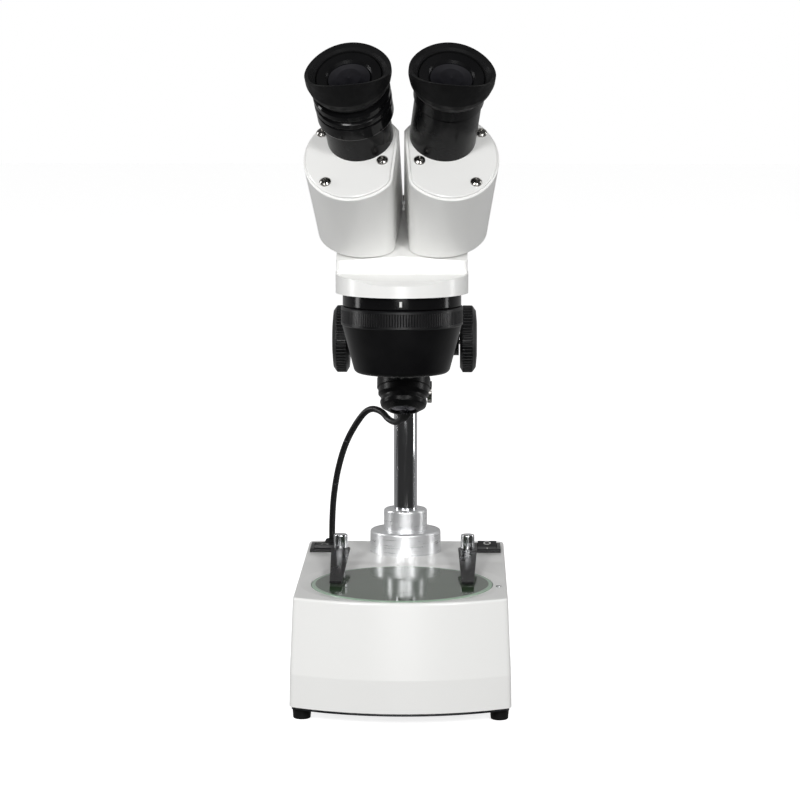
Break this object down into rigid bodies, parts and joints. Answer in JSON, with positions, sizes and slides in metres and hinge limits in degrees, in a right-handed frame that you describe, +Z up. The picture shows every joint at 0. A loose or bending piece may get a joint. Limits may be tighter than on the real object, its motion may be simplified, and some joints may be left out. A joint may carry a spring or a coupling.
{
  "type": "stereo microscope",
  "caption": "Binocular stereo microscope on a pillar stand: glass stage with clips, rack focusing, turning objective turret, tilting lamp, swinging prism housings and rubber eyecups.",
  "frame": {"origin": "on the bench, under the middle of the instrument's overall box", "axes": "+Z up, +X to the user's right, +Y away from the user, who sits at -Y"},
  "size_m": [0.1142, 0.1916, 0.3463],
  "materials": {
    "white_paint": "smooth baked enamel, semi-gloss",
    "zinc_plate": "zinc-plated sheet",
    "foot_rubber": "matt moulded rubber",
    "chrome": "polished chrome",
    "black_plastic": "moulded black plastic, fine grain",
    "satin_aluminium": "turned, satin anodised",
    "steel_screws": "nickel-plated screws",
    "glass": "clear optical glass",
    "stage_glass": "frosted greenish plate glass",
    "transformer_iron": "varnished laminations",
    "cable_sheath": "soft black cable sheath",
    "brass": "turned brass bush",
    "black_metal": "black baked enamel, semi-gloss",
    "bright_steel": "ground and milled steel",
    "objective_metal": "black anodised",
    "cup_rubber": "soft matt rubber"
  },
  "bodies": {
    "stand": {"base_shell": "white_paint", "bottom_plate": "zinc_plate", "rubber_feet": "foot_rubber", "pillar": "chrome", "pillar_cap": "black_plastic", "pillar_collar": "satin_aluminium", "collar_set_screw": "steel_screws", "reflector": "satin_aluminium", "base_bulb": "glass", "transformer": "transformer_iron", "power_inlet": "black_plastic", "switch_bodies": "black_plastic", "cable_grommet": "foot_rubber", "lamp_cable": "cable_sheath"},
    "stage": {"stage_plate": "stage_glass"},
    "stage_screw": {"stage_screw": "chrome"},
    "left_clip": {"left_clip_post": "chrome", "left_clip_leaf": "black_metal"},
    "right_clip": {"right_clip_post": "chrome", "right_clip_leaf": "black_metal"},
    "left_rocker": {"left_rocker": "black_plastic"},
    "right_rocker": {"right_rocker": "black_plastic"},
    "arm_sleeve": {"arm_sleeve": "brass"},
    "focus_block": {"focus_block": "black_metal", "slide_gibs": "black_metal", "gib_screws": "steel_screws"},
    "arm_clamp": {"arm_clamp_knob": "black_plastic"},
    "focus_knobs": {"pinion_shaft": "bright_steel", "left_focus_knob": "black_plastic", "right_focus_knob": "black_plastic"},
    "head": {"rack_slide": "bright_steel", "head_body": "white_paint", "turret_mount": "black_metal", "lamp_clamp_screw": "steel_screws"},
    "lamp": {"lamp_housing": "black_metal", "lamp_lens": "glass", "lamp_bulb": "glass", "lamp_boot": "foot_rubber"},
    "turret": {"turret_cone": "black_metal", "turret_grip_ring": "black_plastic", "low_power_objectives": "objective_metal", "high_power_objectives": "objective_metal", "objective_lenses": "glass"},
    "left_housing": {"left_prism_housing": "white_paint", "left_top_plate": "white_paint", "left_plate_screws": "steel_screws", "left_prisms": "glass", "left_eyetube": "black_metal"},
    "dioptre_ring": {"left_dioptre_ring": "black_metal"},
    "left_eyepiece": {"left_eyepiece": "black_metal", "left_eye_lens": "glass", "left_eyecup": "cup_rubber"},
    "right_housing": {"right_prism_housing": "white_paint", "right_top_plate": "white_paint", "right_plate_screws": "steel_screws", "right_prisms": "glass", "right_eyetube": "black_metal"},
    "right_eyepiece": {"right_eyepiece": "black_metal", "right_eye_lens": "glass", "right_eyecup": "cup_rubber"}
  },
  "joints": [
    {"name": "stage_turn", "type": "hinge", "parent": "stand", "child": "stage", "pos_m": [0, -0.02625, 0.062], "axis": [0, 0, 1], "range_deg": [-180, 180]},
    {"name": "stage_screw_turn", "type": "hinge", "parent": "stand", "child": "stage_screw", "pos_m": [0.0507, -0.03425, 0.063], "axis": [0, 0, 1], "range_deg": [-180, 180]},
    {"name": "left_clip_swing", "type": "hinge", "parent": "stand", "child": "left_clip", "pos_m": [-0.0345, 0.02925, 0.072], "axis": [0, 0, -1], "range_deg": [-25, 100]},
    {"name": "right_clip_swing", "type": "hinge", "parent": "stand", "child": "right_clip", "pos_m": [0.0345, 0.02925, 0.072], "axis": [0, 0, 1], "range_deg": [-25, 100]},
    {"name": "left_rocker_tilt", "type": "hinge", "parent": "stand", "child": "left_rocker", "pos_m": [-0.0455, 0.06925, 0.062], "axis": [1, 0, 0], "range_deg": [0, 16]},
    {"name": "right_rocker_tilt", "type": "hinge", "parent": "stand", "child": "right_rocker", "pos_m": [0.0455, 0.06925, 0.062], "axis": [1, 0, 0], "range_deg": [-16, 0]},
    {"name": "arm_height", "type": "slide", "parent": "stand", "child": "arm_sleeve", "axis": [0, 0, 1], "range_m": [-0.03, 0.03], "deforming": ["lamp_cable"]},
    {"name": "arm_swing", "type": "hinge", "parent": "arm_sleeve", "child": "focus_block", "pos_m": [0, 0.06525, 0.188], "axis": [0, 0, 1], "range_deg": [-25, 25], "deforming": ["lamp_cable"]},
    {"name": "arm_clamp_turn", "type": "hinge", "parent": "focus_block", "child": "arm_clamp", "pos_m": [0, 0.08165, 0.188], "axis": [0, 1, 0], "range_deg": [-180, 180]},
    {"name": "focus_slide", "type": "slide", "parent": "focus_block", "child": "head", "axis": [0, 0, 1], "range_m": [-0.02, 0.012], "deforming": ["lamp_cable"]},
    {"name": "focus_knobs_turn", "type": "hinge", "parent": "focus_block", "child": "focus_knobs", "pos_m": [0, 0.04625, 0.1856], "axis": [-1, 0, 0], "range_deg": [-239, 144]},
    {"name": "lamp_tilt", "type": "hinge", "parent": "head", "child": "lamp", "pos_m": [0, 0.03775, 0.1575], "axis": [1, 0, 0], "range_deg": [-8, 8], "deforming": ["lamp_cable"]},
    {"name": "turret_turn", "type": "hinge", "parent": "head", "child": "turret", "pos_m": [0, -0.02625, 0.2], "axis": [0, 0, 1], "range_deg": [0, 90]},
    {"name": "left_housing_swing", "type": "hinge", "parent": "head", "child": "left_housing", "pos_m": [-0.0239, -0.05636, 0.27939], "axis": [-0.1045, -0.7032, 0.7032], "range_deg": [0, 15]},
    {"name": "right_housing_swing", "type": "hinge", "parent": "head", "child": "right_housing", "pos_m": [0.0239, -0.05636, 0.27939], "axis": [-0.1045, 0.7032, -0.7032], "range_deg": [0, 15]},
    {"name": "left_eyepiece_travel", "type": "slide", "parent": "left_housing", "child": "left_eyepiece", "axis": [-0.1045, -0.7032, 0.7032], "range_m": [0, 0.003]},
    {"name": "dioptre_turn", "type": "hinge", "parent": "left_housing", "child": "dioptre_ring", "pos_m": [-0.02102, -0.03776, 0.29842], "axis": [-0.1045, -0.7032, 0.7032], "range_deg": [0, 121]},
    {"name": "right_eyepiece_lift", "type": "slide", "parent": "right_housing", "child": "right_eyepiece", "axis": [0.1045, -0.7032, 0.7032], "range_m": [0, 0.03]}
  ],
  "couplings": [
    {"joint": "focus_knobs_turn", "follows": "focus_slide", "rad_per_m": 208.33},
    {"joint": "right_housing_swing", "follows": "left_housing_swing", "ratio": 1},
    {"joint": "dioptre_turn", "follows": "left_eyepiece_travel", "rad_per_m": 700}
  ]
}
